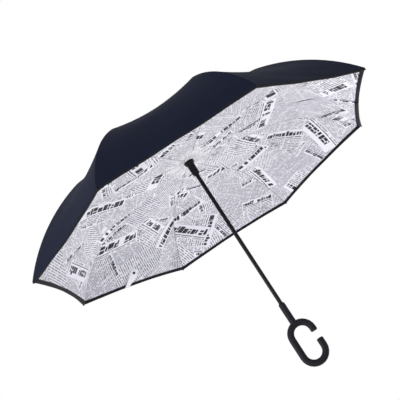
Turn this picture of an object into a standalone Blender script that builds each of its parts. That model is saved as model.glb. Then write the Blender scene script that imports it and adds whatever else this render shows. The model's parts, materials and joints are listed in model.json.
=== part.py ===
"""Inverted umbrella with eight ribs and two canopies, shown open. Metres, +Z up.

The origin is the centre of the C-shaped grip, on the shaft's axis. The runner slides down the shaft to
close the umbrella: the ribs then fold upwards, so that the wet outer canopy ends up inside.
"""

import math

import bmesh
import bpy
from mathutils import Matrix, Vector

# Overall arrangement: rises are measured upwards from the plane of the eight cloth corners
RIB_COUNT = 8
RIM_RADIUS = 0.527
CLOSED_GAP = 0.0083
CLEARANCE = 0.0003
OVERRUN = 0.002
ROUND_STEPS = 24
FLAT_ENOUGH = math.radians(0.5)

# Outer canopy, along a rib: flat on the crown, straight to the shoulder, then bowed to the corner
CLOTH_THICKNESS = 0.0006
CROWN_RISE = 0.222
CROWN_SEAT_RADIUS = 0.0165
SHOULDER_RADIUS = 0.295
SHOULDER_RISE = 0.1975
OUTER_BOW_RADIUS = 0.509
OUTER_SAG = 0.014
OUTER_RIM_SAG = 0.010
OUTER_RIM_CUT = 0.008

# Inner canopy, along a rib: clamped on the runner, nearly flat, then bowed to the corner
INNER_RISE = 0.1205
INNER_SEAT_RADIUS = 0.0125
INNER_BEND_RADIUS = 0.300
INNER_BEND_RISE = 0.1165
INNER_BOW_RADIUS = 0.345
INNER_SAG = 0.006
INNER_RIM_SAG = 0.006
INNER_RIM_CUT = 0.008
HEM_WIDTH = 0.012

# Steps of both canopies
ACROSS_GORE = 6
STRAIGHT_SHARES = (0.0, 0.35, 0.7, 1.0)
BOW_STEPS = 6

# Shaft, a steel tube
SHAFT_RADIUS = 0.0055
SHAFT_WALL = 0.0008

# Hubs: the crown and the runner's head carry the arms on wire rings in slotted flanges
PIVOT_RADIUS = 0.020
CROWN_PIVOT_DROP = 0.0175
RUNNER_PIVOT_LIFT = 0.0145
FLANGE_RADIUS = 0.0235
FLANGE_HALF_HEIGHT = 0.0045
SLOT_FLOOR_RADIUS = 0.0165
HUB_NECK_RADIUS = 0.0088
CROWN_SLEEVE_LENGTH = 0.012
SEAT_THICKNESS = 0.0016
WIRE_RADIUS = 0.0006

# Runner sleeve and the collar that clamps the inner canopy under the runner's head
SLEEVE_RADIUS = 0.0072
SLEEVE_TOP_LIFT = 0.008
COLLAR_LENGTH = 0.0435
COLLAR_TOP_RADIUS = 0.0145
COLLAR_TOP_DEPTH = 0.0065
COLLAR_BODY_RADIUS = 0.0108
COLLAR_BODY_DROP = 0.0095
COLLAR_WAIST_RADIUS = 0.0101
COLLAR_FOOT_RADIUS = 0.0086
COLLAR_FOOT_ROUNDING = 0.0045
COLLAR_FOOT_STEPS = 3
SLEEVE_FOOT_LENGTH = 0.002

# Release button, on the side of the collar away from the photograph's view
BUTTON_DROP = 0.0290
BUTTON_RADIUS = 0.0028
BUTTON_TRAVEL = 0.0020
BUTTON_HEAD_LENGTH = 0.0035
BUTTON_STEM_RADIUS = 0.0012
BOSS_WALL = 0.0015
BOSS_REACH = 0.0062
SPRING_WIRE_RADIUS = 0.00025
SPRING_TURNS = 3
SPRING_TURN_STEPS = 8

# Catches: hairpin leaf springs inside the shaft whose noses hold the runner open or closed
CATCH_WIDTH = 0.0030
CATCH_THICKNESS = 0.0006
CATCH_LENGTH = 0.018
CATCH_NOSE_REACH = 0.0012
CATCH_NOSE_HEIGHT = 0.0018
CATCH_SLOT_LENGTH = 0.009

# Arms: pressed steel channels, set beside the rib's plane so that they pass the knuckle
ARM_NEAR = 0.0023
ARM_FAR = 0.0060
ARM_HALF_HEIGHT = 0.0022
ARM_SKIN = 0.0007
ARM_FLAT_END = 0.009
EYE_STEPS = 8
END_STEPS = 6

# Knuckle, the moulded joint block of each rib
KNUCKLE_HALF_THICKNESS = 0.0020
KNUCKLE_INSET = 0.009
KNUCKLE_DROP = 0.0140
KNUCKLE_REACH = 0.028
KNUCKLE_LIFT = 0.010
KNUCKLE_EYE_RADIUS = 0.0034
PIN_RADIUS = 0.0010
RIVET_RADIUS = 0.0020
RIVET_THICKNESS = 0.0006
SOCKET_RADIUS = 0.0025
SOCKET_LENGTH = 0.020
SOCKET_FLOOR = 0.003

# Rib rod, of glass fibre, and the tip that holds the cloth corners
ROD_RADIUS = 0.00145
ROD_DROP = 0.0041
TIP_RADIUS = 0.0022
TIP_COVER = 0.009
TIP_NOSE = 0.0035

# Cap on top of the shaft
CAP_RADIUS = 0.017
CAP_HEIGHT = 0.016
CAP_FLAT_RADIUS = 0.0055
CAP_BRIM = 0.0025
SHAFT_IN_CAP = 0.006

# Handle: a sleeve on the shaft and a C-shaped grip
NECK_TOP_HEIGHT = 0.1195
NECK_RADIUS = 0.0088
NECK_LIP = 0.0018
NECK_CHAMFER = 0.004
NECK_FLOOR = 0.008
GRIP_RADIUS = 0.0090
GRIP_HEIGHT = 0.129
GRIP_WIDTH = 0.078
GRIP_OFFSET = 0.004
GRIP_GAP = 0.021
GRIP_GAP_SHARE = 0.46
GRIP_BEND_STEPS = 12
GRIP_END_ROUNDING = 0.0030
GRIP_END_STEPS = 3

# Closing strap, sewn to the hem between the fourth and the third rib
STRAP_WIDTH = 0.016
STRAP_THICKNESS = 0.0008
STRAP_LENGTH = 0.062
STRAP_PLACE_SHARE = 0.41
STRAP_FROM_RIB = 4
STRAP_STEPS = 5

# Folding: how far the arm and the rib turn, from which the runner's travel follows
LOWER_ARM_CLOSED_ANGLE = math.radians(88.0)
RIB_TURN = math.radians(116.0)

SECTOR = math.tau / RIB_COUNT
HALF_CLOTH = CLOTH_THICKNESS / 2
CLOTH_ROOM = HALF_CLOTH + CLEARANCE
ARM_LENGTHWAYS = Matrix.Rotation(math.pi / 2, 4, "X")


def turned_by(vector, angle):
    return Matrix.Rotation(angle, 2) @ vector


def slope_of(start, end):
    return math.atan2(end.y - start.y, end.x - start.x)


# The pivots in the rib's plane, as (distance from the shaft's axis, rise)
CROWN_HINGE = Vector((PIVOT_RADIUS, CROWN_RISE - CROWN_PIVOT_DROP))
RUNNER_HINGE = Vector((PIVOT_RADIUS, INNER_RISE + RUNNER_PIVOT_LIFT))
KNUCKLE_HINGE = Vector((SHOULDER_RADIUS - KNUCKLE_INSET, SHOULDER_RISE - KNUCKLE_DROP))
KNUCKLE_TOP_HINGE = KNUCKLE_HINGE + Vector((-KNUCKLE_REACH, KNUCKLE_LIFT))
LOWER_ARM_LENGTH = (KNUCKLE_HINGE - RUNNER_HINGE).length
UPPER_ARM_LENGTH = (KNUCKLE_TOP_HINGE - CROWN_HINGE).length
LOWER_ARM_SLOPE = slope_of(RUNNER_HINGE, KNUCKLE_HINGE)
UPPER_ARM_SLOPE = slope_of(CROWN_HINGE, KNUCKLE_TOP_HINGE)


def closed_pose():
    """The runner's travel and the upper arm's turn at which the closed linkage joins up again."""
    knuckle_radius = RUNNER_HINGE.x + LOWER_ARM_LENGTH * math.cos(LOWER_ARM_CLOSED_ANGLE)
    arm_rise = LOWER_ARM_LENGTH * math.sin(LOWER_ARM_CLOSED_ANGLE)
    across = turned_by(KNUCKLE_TOP_HINGE - KNUCKLE_HINGE, RIB_TURN)
    reach = knuckle_radius + across.x - CROWN_HINGE.x
    depth = math.sqrt(UPPER_ARM_LENGTH**2 - reach**2)
    knuckle_rise = CROWN_HINGE.y - depth - across.y
    travel = RUNNER_HINGE.y + arm_rise - knuckle_rise
    return travel, math.atan2(-depth, reach) - UPPER_ARM_SLOPE


RUNNER_TRAVEL, UPPER_ARM_TURN = closed_pose()
LOWER_ARM_TURN = LOWER_ARM_CLOSED_ANGLE - LOWER_ARM_SLOPE

# The closed runner stops just above the handle, which sets how high up the shaft everything sits
RUNNER_FOOT_RISE = INNER_RISE - CLOTH_ROOM - COLLAR_LENGTH - SLEEVE_FOOT_LENGTH
RIM_HEIGHT = NECK_TOP_HEIGHT + CLOSED_GAP + RUNNER_TRAVEL - RUNNER_FOOT_RISE


def plane_point(radius, rise):
    """A point of the rib's plane as (distance from the shaft's axis, height)."""
    return Vector((radius, RIM_HEIGHT + rise))


CROWN_PIVOT = plane_point(*CROWN_HINGE)
RUNNER_PIVOT = plane_point(*RUNNER_HINGE)
KNUCKLE_PIVOT = plane_point(*KNUCKLE_HINGE)
KNUCKLE_TOP_PIVOT = plane_point(*KNUCKLE_TOP_HINGE)
GRIP_BEND = GRIP_WIDTH / 2 - GRIP_RADIUS
GRIP_STRAIGHT = GRIP_HEIGHT / 2 - GRIP_RADIUS - GRIP_BEND
GRIP_GAP_HEIGHT = GRIP_HEIGHT / 2 - GRIP_HEIGHT * GRIP_GAP_SHARE
COLLAR_TOP = RIM_HEIGHT + INNER_RISE - CLOTH_ROOM
BUTTON_HEIGHT = COLLAR_TOP - BUTTON_DROP


def rib_azimuth(number):
    return SECTOR * (number - 0.5)


def bow(start, end, radius, steps):
    """Points of an arc from start to end that bulges up and outwards."""
    chord = end - start
    half = chord.length / 2
    outward = Vector((-chord.y, chord.x)).normalized()
    centre = (start + end) / 2 - outward * math.sqrt(radius**2 - half**2)
    first = math.atan2(start.y - centre.y, start.x - centre.x)
    last = math.atan2(end.y - centre.y, end.x - centre.x)
    angles = [first + (last - first) * step / steps for step in range(steps + 1)]
    return [centre + radius * Vector((math.cos(a), math.sin(a))) for a in angles]


def offset_line(points, distance):
    """The same open line, moved to its upper side by a distance, or to its lower side if that is negative."""
    moved = []
    for index, point in enumerate(points):
        before = points[max(index - 1, 0)]
        after = points[min(index + 1, len(points) - 1)]
        along = (after - before).normalized()
        moved.append(point + Vector((-along.y, along.x)) * distance)
    return moved


def outer_line():
    seat = plane_point(CROWN_SEAT_RADIUS, CROWN_RISE)
    hole = plane_point(SHAFT_RADIUS + SHAFT_WALL + CLOTH_ROOM * 3, CROWN_RISE)
    shoulder = plane_point(SHOULDER_RADIUS, SHOULDER_RISE)
    straight = [seat.lerp(shoulder, share) for share in STRAIGHT_SHARES]
    return [hole] + straight[:-1] + bow(shoulder, plane_point(RIM_RADIUS, 0), OUTER_BOW_RADIUS, BOW_STEPS)


def rod_line():
    """The centre line of the rod, which follows the outer canopy from the knuckle to the corner."""
    return offset_line(outer_line()[-BOW_STEPS - 1 :], -ROD_DROP)


def inner_line():
    seat = plane_point(INNER_SEAT_RADIUS, INNER_RISE)
    hole = plane_point((SLEEVE_RADIUS + CLOTH_ROOM) / math.cos(SECTOR / 2), INNER_RISE)
    bend = plane_point(INNER_BEND_RADIUS, INNER_BEND_RISE)
    corner = offset_line(rod_line(), -ROD_DROP)[-1]
    whole = bow(bend, corner, INNER_BOW_RADIUS, BOW_STEPS)
    last_run = whole[-1] - whole[-2]
    whole[-1] = whole[-2] + last_run * (1 - HEM_WIDTH / last_run.length)
    straight = [seat.lerp(bend, share) for share in STRAIGHT_SHARES]
    return [hole] + straight[:-1] + whole


def fade(share):
    """A smooth rise from 0 to 1."""
    share = min(max(share, 0.0), 1.0)
    return share * share * (3 - 2 * share)


def gore_rows(line, sag, rim_sag, rim_cut):
    """For each point of a seam line: the point, its outward run, and how the cloth between two ribs hangs."""
    lengths = [0.0, 0.0]
    for before, after in zip(line[1:], line[2:]):
        lengths.append(lengths[-1] + (after - before).length)
    rows = []
    for index, point in enumerate(line):
        before = line[max(index - 1, 0)]
        after = line[min(index + 1, len(line) - 1)]
        share = lengths[index] / lengths[-1]
        hang = sag * fade(2 * share) + (rim_sag - sag) * fade(2 * share - 1)
        rows.append((point, (after - before).normalized(), hang, rim_cut * share**8))
    return rows


def gore_point(row, across, lift=0.0):
    """A point of a gore whose middle lies over +X. Across runs from -1 at one rib to 1 at the next."""
    point, run, hang, cut = row
    hollow = 1 - across**2
    chord = Vector((point.x * math.cos(SECTOR / 2), across * point.x * math.sin(SECTOR / 2), point.y))
    outward = Vector((-run.y, 0, run.x))
    return chord + outward * (lift - hang * hollow) - Vector((run.x, 0, run.y)) * (cut * hollow)


def collection(name):
    made = bpy.data.collections.new(name)
    bpy.context.scene.collection.children.link(made)
    return made


def material(name, color, roughness, metallic=0.0):
    made = bpy.data.materials.new(name)
    made.use_nodes = True
    made.diffuse_color = (*color, 1)
    shader = made.node_tree.nodes["Principled BSDF"]
    shader.inputs["Base Color"].default_value = (*color, 1)
    shader.inputs["Roughness"].default_value = roughness
    shader.inputs["Metallic"].default_value = metallic
    return made


def add(name, data, finish, matrix=None):
    """Puts an object of the umbrella in its collection, with its finish."""
    made = bpy.data.objects.new(name, data)
    made.matrix_world = matrix or Matrix()
    if not data.materials:
        data.materials.append(finish)
    PARTS.objects.link(made)
    return made


def add_cutter(name, mesh, matrix=None):
    made = bpy.data.objects.new(name, mesh)
    made.matrix_world = matrix or Matrix()
    made.hide_render = True
    made.display_type = "WIRE"
    CUTTERS.objects.link(made)
    return made


def bake(obj):
    """Turns an object into the mesh that its modifiers or its curve make, with its caps welded."""
    bpy.context.view_layer.update()
    graph = bpy.context.evaluated_depsgraph_get()
    mesh = bpy.data.meshes.new_from_object(obj.evaluated_get(graph))
    mesh.transform(obj.matrix_world)
    work = bmesh.new()
    work.from_mesh(mesh)
    bmesh.ops.remove_doubles(work, verts=work.verts, dist=CLEARANCE / 100)
    bmesh.ops.recalc_face_normals(work, faces=work.faces)
    work.to_mesh(mesh)
    work.free()
    bpy.data.objects.remove(obj)
    return mesh


def smooth(mesh):
    mesh.shade_smooth()
    mesh.set_sharp_from_angle(angle=math.radians(35))
    return mesh


def scratch(name, data, matrix=None):
    """An object that is baked before the end."""
    made = bpy.data.objects.new(name, data)
    made.matrix_world = matrix or Matrix()
    CUTTERS.objects.link(made)
    return made


def boolean(obj, other, operation):
    modifier = obj.modifiers.new(operation.title() + " " + other.name, "BOOLEAN")
    modifier.operation = operation
    modifier.object = other
    return obj


def joined(name, first, others, cuts=()):
    """One mesh from the first, the others joined to it, and the cuts taken out."""
    whole = scratch(name, first)
    helpers = []
    for operation, meshes in (("UNION", others), ("DIFFERENCE", cuts)):
        for mesh in meshes:
            helpers.append(scratch(name + "_helper", mesh))
            boolean(whole, helpers[-1], operation)
    mesh = bake(whole)
    for helper in helpers:
        bpy.data.objects.remove(helper)
    return smooth(mesh)


def turned(name, profile, steps=ROUND_STEPS, closed=True):
    """A turned mesh from a profile at +X that runs down its outer side."""
    mesh = bpy.data.meshes.new(name)
    ring = [(index, index + 1) for index in range(len(profile) - 1)]
    if closed:
        ring.append((len(profile) - 1, 0))
    mesh.from_pydata([(radius, 0, height) for radius, height in profile], ring, [])
    whole = scratch(name, mesh)
    screw = whole.modifiers.new("Turn", "SCREW")
    screw.axis = "Z"
    screw.angle = math.tau
    screw.steps = screw.render_steps = steps
    screw.use_merge_vertices = True
    screw.merge_threshold = CLEARANCE / 100
    return smooth(bake(whole))


def box(name, low, high):
    """A box between two corners."""
    mesh = bpy.data.meshes.new(name)
    work = bmesh.new()
    low, high = Vector(low), Vector(high)
    place = Matrix.Translation((low + high) / 2) @ Matrix.Diagonal((*(high - low), 1))
    bmesh.ops.create_cube(work, size=1, matrix=place)
    work.to_mesh(mesh)
    work.free()
    return mesh


def rod(name, start, end, radius, steps=12):
    """A plain round bar between two points, whose flats touch the radius where it is a cutter's."""
    mesh = bpy.data.meshes.new(name)
    work = bmesh.new()
    start, end = Vector(start), Vector(end)
    turn = (end - start).to_track_quat("Z", "Y").to_matrix().to_4x4()
    place = Matrix.Translation((start + end) / 2) @ turn
    bmesh.ops.create_cone(
        work,
        cap_ends=True,
        segments=steps,
        radius1=radius,
        radius2=radius,
        depth=(end - start).length,
        matrix=place,
    )
    work.to_mesh(mesh)
    work.free()
    return mesh


def tube(name, points, radius, resolution=2, cyclic=False, shares=None):
    """A curve with a round bevel and filled caps. Shares are the thickness at each point, if it varies."""
    curve = bpy.data.curves.new(name, "CURVE")
    curve.dimensions = "3D"
    spline = curve.splines.new("POLY")
    spline.points.add(len(points) - 1)
    for spot, point, share in zip(spline.points, points, shares or [1.0] * len(points)):
        spot.co = (*point, 1)
        spot.radius = share
    spline.use_cyclic_u = cyclic
    curve.bevel_depth = radius
    curve.bevel_resolution = resolution
    curve.use_fill_caps = not cyclic
    return curve


def plate(name, outlines, low, high):
    """A flat outline in the rib's plane, with holes, between two distances beside that plane."""
    curve = bpy.data.curves.new(name, "CURVE")
    curve.dimensions = "2D"
    curve.fill_mode = "BOTH"
    curve.extrude = (high - low) / 2
    for outline in outlines:
        spline = curve.splines.new("POLY")
        spline.points.add(len(outline) - 1)
        for spot, point in zip(spline.points, outline):
            spot.co = (point[0], point[1], 0, 1)
        spline.use_cyclic_u = True
    place = Matrix.Translation((0, (low + high) / 2, 0)) @ ARM_LENGTHWAYS
    mesh = bake(scratch(name, curve, place))
    work = bmesh.new()
    work.from_mesh(mesh)
    bmesh.ops.dissolve_limit(work, angle_limit=FLAT_ENOUGH, verts=work.verts, edges=work.edges)
    work.to_mesh(mesh)
    work.free()
    return mesh


def circle(centre, radius, steps):
    angles = [math.tau * (step + 0.5) / steps for step in range(steps)]
    return [(centre[0] + radius * math.cos(a), centre[1] + radius * math.sin(a)) for a in angles]


def hole(centre, radius):
    """A hole's outline, drawn round the radius so that its flats clear it."""
    return circle(centre, radius / math.cos(math.pi / EYE_STEPS), EYE_STEPS)


def belt(circles):
    """The outline of a belt round circles, each a (centre, radius)."""
    points = sorted(p for centre, radius in circles for p in circle(centre, radius, 2 * END_STEPS))
    straight_enough = (CLEARANCE / 10) ** 2

    def half(ordered):
        kept = []
        for point in ordered:
            while len(kept) > 1:
                (ax, ay), (bx, by) = kept[-2], kept[-1]
                if (bx - ax) * (point[1] - ay) - (by - ay) * (point[0] - ax) > straight_enough:
                    break
                kept.pop()
            kept.append(point)
        return kept[:-1]

    return half(points) + half(points[::-1])


def rib_place(number, point, slope=0.0):
    """The matrix of a piece drawn in the rib's plane, with its origin at a point of that plane."""
    place = Matrix.Translation((0, 0, point.y)) @ Matrix.Rotation(rib_azimuth(number), 4, "Z")
    return place @ Matrix.Translation((point.x, 0, 0)) @ Matrix.Rotation(-slope, 4, "Y")


def at_each_rib(name, data, finish, point, slope=0.0):
    for number in range(1, RIB_COUNT + 1):
        add(f"{name}_{number}", data, finish, rib_place(number, point, slope))


def canopy(name, line, sag, rim_sag, rim_cut, finish):
    """Eight gores made from one grid patch, joined at the ribs and given the cloth's thickness."""
    rows = gore_rows(line, sag, rim_sag, rim_cut)
    work = bmesh.new()
    bmesh.ops.create_grid(work, x_segments=ACROSS_GORE, y_segments=len(rows) - 1, size=1)
    for vertex in work.verts:
        row = round((vertex.co.y + 1) / 2 * (len(rows) - 1))
        vertex.co = gore_point(rows[row], vertex.co.x)
    middle = Matrix.Rotation(SECTOR, 4, "Z")
    bmesh.ops.transform(work, matrix=middle, verts=work.verts)
    gore = work.verts[:] + work.edges[:] + work.faces[:]
    for number in range(1, RIB_COUNT):
        copy = bmesh.ops.duplicate(work, geom=gore)["geom"]
        corners = [part for part in copy if isinstance(part, bmesh.types.BMVert)]
        turn = Matrix.Rotation(SECTOR * number, 4, "Z")
        bmesh.ops.transform(work, matrix=turn, verts=corners)
    bmesh.ops.remove_doubles(work, verts=work.verts, dist=CLEARANCE / 100)
    bmesh.ops.recalc_face_normals(work, faces=work.faces)
    mesh = bpy.data.meshes.new(name)
    work.to_mesh(mesh)
    work.free()
    made = add(name, smooth(mesh), finish)
    cloth = made.modifiers.new("Cloth", "SOLIDIFY")
    cloth.thickness = CLOTH_THICKNESS
    cloth.offset = 0
    return made


def row_before_end(rows, length):
    """Where the seam line is a length short of its end: a row's number and a share of the next run."""
    last = len(rows) - 1
    while last > 1:
        run = (rows[last][0] - rows[last - 1][0]).length
        if length < run:
            break
        length -= run
        last -= 1
    return last - 1, 1 - length / (rows[last][0] - rows[last - 1][0]).length


def strap():
    """The closing strap: a strip that lies under the inner canopy, from the hem towards the shaft."""
    rows = gore_rows(inner_line(), INNER_SAG, INNER_RIM_SAG, INNER_RIM_CUT)
    half_chord = RIM_RADIUS * math.sin(SECTOR / 2)
    place = 1 - 2 * STRAP_PLACE_SHARE
    half_width = STRAP_WIDTH / 2 / half_chord
    lift = -(HALF_CLOTH + CLEARANCE + STRAP_THICKNESS / 2 + CLEARANCE)
    work = bmesh.new()
    bmesh.ops.create_grid(work, x_segments=2, y_segments=STRAP_STEPS, size=1)
    for vertex in work.verts:
        across = place + vertex.co.x * half_width
        first, share = row_before_end(rows, (vertex.co.y + 1) / 2 * STRAP_LENGTH)
        nearer = gore_point(rows[first], across, lift)
        farther = gore_point(rows[first + 1], across, lift)
        vertex.co = nearer.lerp(farther, share)
    gore_middle = Matrix.Rotation(rib_azimuth(STRAP_FROM_RIB) - SECTOR / 2, 4, "Z")
    bmesh.ops.transform(work, matrix=gore_middle, verts=work.verts)
    mesh = bpy.data.meshes.new("closing_strap")
    work.to_mesh(mesh)
    work.free()
    made = add("closing_strap", smooth(mesh), PRINT)
    tape = made.modifiers.new("Tape", "SOLIDIFY")
    tape.thickness = STRAP_THICKNESS
    tape.offset = 0


def slots(name, pivot, near, far):
    """One cutter of eight boxes that let the arms' inner ends into a hub's flange."""
    work = bmesh.new()
    low = Vector((SLOT_FLOOR_RADIUS, near, -FLANGE_HALF_HEIGHT - OVERRUN))
    high = Vector((FLANGE_RADIUS + OVERRUN, far, FLANGE_HALF_HEIGHT + OVERRUN))
    size = Matrix.Translation((low + high) / 2) @ Matrix.Diagonal((*(high - low), 1))
    for number in range(1, RIB_COUNT + 1):
        turn = Matrix.Rotation(rib_azimuth(number), 4, "Z")
        lift = Matrix.Translation((0, 0, pivot.y))
        bmesh.ops.create_cube(work, size=1, matrix=lift @ turn @ size)
    mesh = bpy.data.meshes.new(name)
    work.to_mesh(mesh)
    work.free()
    return mesh


def flange_profile(pivot):
    """The outer side of a hub's flange, with the groove that the wire ring lies in, top to bottom."""
    groove = WIRE_RADIUS + CLEARANCE
    floor = PIVOT_RADIUS - groove
    return [
        (FLANGE_RADIUS, pivot.y + FLANGE_HALF_HEIGHT),
        (FLANGE_RADIUS, pivot.y + groove),
        (floor, pivot.y + groove),
        (floor, pivot.y - groove),
        (FLANGE_RADIUS, pivot.y - groove),
        (FLANGE_RADIUS, pivot.y - FLANGE_HALF_HEIGHT),
    ]


def wire_ring(name, pivot):
    """The hinge wire: an octagon whose straight sides pass through the arms' eyes."""
    corner_radius = PIVOT_RADIUS / math.cos(SECTOR / 2)
    angles = [rib_azimuth(number) + SECTOR / 2 for number in range(1, RIB_COUNT + 1)]
    points = [(corner_radius * math.cos(a), corner_radius * math.sin(a), pivot.y) for a in angles]
    add(name, tube(name, points, WIRE_RADIUS, cyclic=True), STEEL)


def build_shaft():
    bottom = GRIP_HEIGHT / 2 + NECK_FLOOR + CLEARANCE
    top = RIM_HEIGHT + CROWN_RISE + SHAFT_IN_CAP
    bore = SHAFT_RADIUS - SHAFT_WALL
    profile = [(SHAFT_RADIUS, top), (SHAFT_RADIUS, bottom), (bore, bottom), (bore, top)]
    half_slot = CATCH_WIDTH / 2 + CLEARANCE
    cuts = []
    for side, height in ((-1, BUTTON_HEIGHT), (1, BUTTON_HEIGHT - RUNNER_TRAVEL)):
        flat_side = height - side * (CATCH_NOSE_HEIGHT / 2 + CLEARANCE)
        other = flat_side + side * CATCH_SLOT_LENGTH
        low = (-half_slot, 0, min(flat_side, other))
        high = (half_slot, SHAFT_RADIUS + OVERRUN, max(flat_side, other))
        cuts.append(box("catch_slot", low, high))
    mesh = joined("shaft", turned("shaft", profile), [], cuts)
    add("shaft", mesh, BLACK_STEEL)


def build_catch(name, height, side):
    """A hairpin spring: one leg on the shaft's far wall, the other ending in a nose with one flat side.

    Side is -1 where the nose's flat side is above, and 1 where it is below.
    """
    wall = SHAFT_RADIUS - SHAFT_WALL - CLEARANCE
    nose = SHAFT_RADIUS + CATCH_NOSE_REACH
    half_nose = CATCH_NOSE_HEIGHT / 2
    thick = CATCH_THICKNESS
    bend = -CATCH_LENGTH
    # distances across the shaft, and along it from the nose: the bend lies on the ramp's side
    outline = [
        (-wall + thick, half_nose),
        (-wall, half_nose),
        (-wall, bend),
        (-wall + thick, bend - thick),
        (-wall + 2 * thick, bend - thick),
        (wall - thick, -half_nose - 3 * thick),
        (nose, half_nose - thick),
        (nose, half_nose),
        (wall - 2 * thick, half_nose),
        (wall - 2 * thick, half_nose - thick),
        (wall - 2 * thick, -half_nose - 2 * thick),
        (-wall + 2 * thick, bend + thick),
        (-wall + thick, bend + thick),
    ]
    placed = [(across, height - side * along) for across, along in outline]
    mesh = plate(name, [placed], -CATCH_WIDTH / 2, CATCH_WIDTH / 2)
    mesh.transform(Matrix.Rotation(math.pi / 2, 4, "Z"))
    add(name, mesh, STEEL)


def build_crown():
    seat_top = RIM_HEIGHT + CROWN_RISE - CLOTH_ROOM
    bottom = CROWN_PIVOT.y - FLANGE_HALF_HEIGHT - CROWN_SLEEVE_LENGTH
    bore = SHAFT_RADIUS + CLEARANCE
    flange = flange_profile(CROWN_PIVOT)
    profile = [
        (CROWN_SEAT_RADIUS, seat_top),
        (CROWN_SEAT_RADIUS, seat_top - SEAT_THICKNESS),
        (HUB_NECK_RADIUS, flange[0][1] + SEAT_THICKNESS),
        (HUB_NECK_RADIUS + SEAT_THICKNESS, flange[0][1]),
        *flange,
        (HUB_NECK_RADIUS, CROWN_PIVOT.y - FLANGE_HALF_HEIGHT),
        (HUB_NECK_RADIUS, bottom),
        (bore, bottom),
        (bore, seat_top),
    ]
    cut = slots("crown_slots", CROWN_PIVOT, ARM_NEAR - CLEARANCE, ARM_FAR + CLEARANCE)
    hub = add("crown", turned("crown", profile), BLACK_PLASTIC)
    boolean(hub, add_cutter("crown_slots", cut), "DIFFERENCE")
    wire_ring("crown_wire", CROWN_PIVOT)


def build_cap():
    """A low dome with a flat top, on the shaft's end, that clamps the outer canopy."""
    brim = RIM_HEIGHT + CROWN_RISE + CLOTH_ROOM
    top = brim + CAP_HEIGHT
    shaft_top = RIM_HEIGHT + CROWN_RISE + SHAFT_IN_CAP
    bore = SHAFT_RADIUS + CLEARANCE
    dome = Vector((CAP_RADIUS, brim + CAP_BRIM))
    flat = Vector((CAP_FLAT_RADIUS, top))
    rounding = (dome - flat).length
    sides = bow(flat, dome, rounding, END_STEPS)
    profile = [(0, top)] + [(p.x, p.y) for p in sides]
    profile += [(CAP_RADIUS, brim), (bore, brim), (bore, shaft_top + CLEARANCE), (0, shaft_top + CLEARANCE)]
    add("top_cap", turned("top_cap", profile, closed=False), BLACK_PLASTIC)


def build_runner():
    top = RUNNER_PIVOT.y + SLEEVE_TOP_LIFT
    seat = RIM_HEIGHT + INNER_RISE + CLOTH_ROOM
    foot = COLLAR_TOP - COLLAR_LENGTH - SLEEVE_FOOT_LENGTH
    bore = SHAFT_RADIUS + CLEARANCE
    profile = [
        (HUB_NECK_RADIUS, top),
        (HUB_NECK_RADIUS, RUNNER_PIVOT.y + FLANGE_HALF_HEIGHT),
        *flange_profile(RUNNER_PIVOT),
        (INNER_SEAT_RADIUS, RUNNER_PIVOT.y - FLANGE_HALF_HEIGHT - SEAT_THICKNESS),
        (INNER_SEAT_RADIUS, seat),
        (SLEEVE_RADIUS, seat),
        (SLEEVE_RADIUS, foot),
        (bore, foot),
        (bore, top),
    ]
    cut = slots("runner_slots", RUNNER_PIVOT, -ARM_FAR - CLEARANCE, -ARM_NEAR + CLEARANCE)
    body = add("runner", turned("runner", profile), BLACK_PLASTIC)
    boolean(body, add_cutter("runner_slots", cut), "DIFFERENCE")
    start, end = (0, 0, BUTTON_HEIGHT), (0, SLEEVE_RADIUS + OVERRUN, BUTTON_HEIGHT)
    catch_room = (CATCH_WIDTH + CATCH_NOSE_HEIGHT) / 2 + CLEARANCE
    window = add_cutter("runner_window", rod("runner_window", start, end, catch_room, ROUND_STEPS))
    boolean(body, window, "DIFFERENCE")
    wire_ring("runner_wire", RUNNER_PIVOT)


def boss_face():
    """How far from the shaft's axis the button's boss ends."""
    return SLEEVE_RADIUS + CLEARANCE + BOSS_REACH


def build_collar():
    """A wide top under the cloth, a slimmer body with the button's boss, and a rounded foot."""
    bore = SLEEVE_RADIUS + CLEARANCE
    foot = COLLAR_TOP - COLLAR_LENGTH
    rounding = Vector((COLLAR_WAIST_RADIUS - COLLAR_FOOT_RADIUS, COLLAR_FOOT_ROUNDING))
    angles = [math.pi / 2 * step / COLLAR_FOOT_STEPS for step in range(COLLAR_FOOT_STEPS + 1)]
    profile = [
        (COLLAR_TOP_RADIUS, COLLAR_TOP),
        (COLLAR_TOP_RADIUS, COLLAR_TOP - COLLAR_TOP_DEPTH),
        (COLLAR_BODY_RADIUS, COLLAR_TOP - COLLAR_BODY_DROP),
        *[
            (COLLAR_FOOT_RADIUS + rounding.x * math.cos(a), foot + rounding.y * (1 - math.sin(a)))
            for a in angles
        ],
        (bore, foot),
        (bore, COLLAR_TOP),
    ]
    well = BUTTON_RADIUS + CLEARANCE
    middle = (0, bore + CLEARANCE, BUTTON_HEIGHT)
    face = (0, boss_face(), BUTTON_HEIGHT)
    floor = (0, COLLAR_WAIST_RADIUS - BOSS_WALL, BUTTON_HEIGHT)
    past = (0, boss_face() + OVERRUN, BUTTON_HEIGHT)
    boss = rod("boss", middle, face, well + BOSS_WALL, ROUND_STEPS)
    well_cut = rod("button_well", floor, past, well, ROUND_STEPS)
    stem_cut = rod("stem_hole", (0, 0, BUTTON_HEIGHT), face, BUTTON_STEM_RADIUS + 2 * CLEARANCE)
    mesh = joined("runner_collar", turned("runner_collar", profile), [boss], [well_cut, stem_cut])
    add("runner_collar", mesh, BLACK_PLASTIC)


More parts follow.
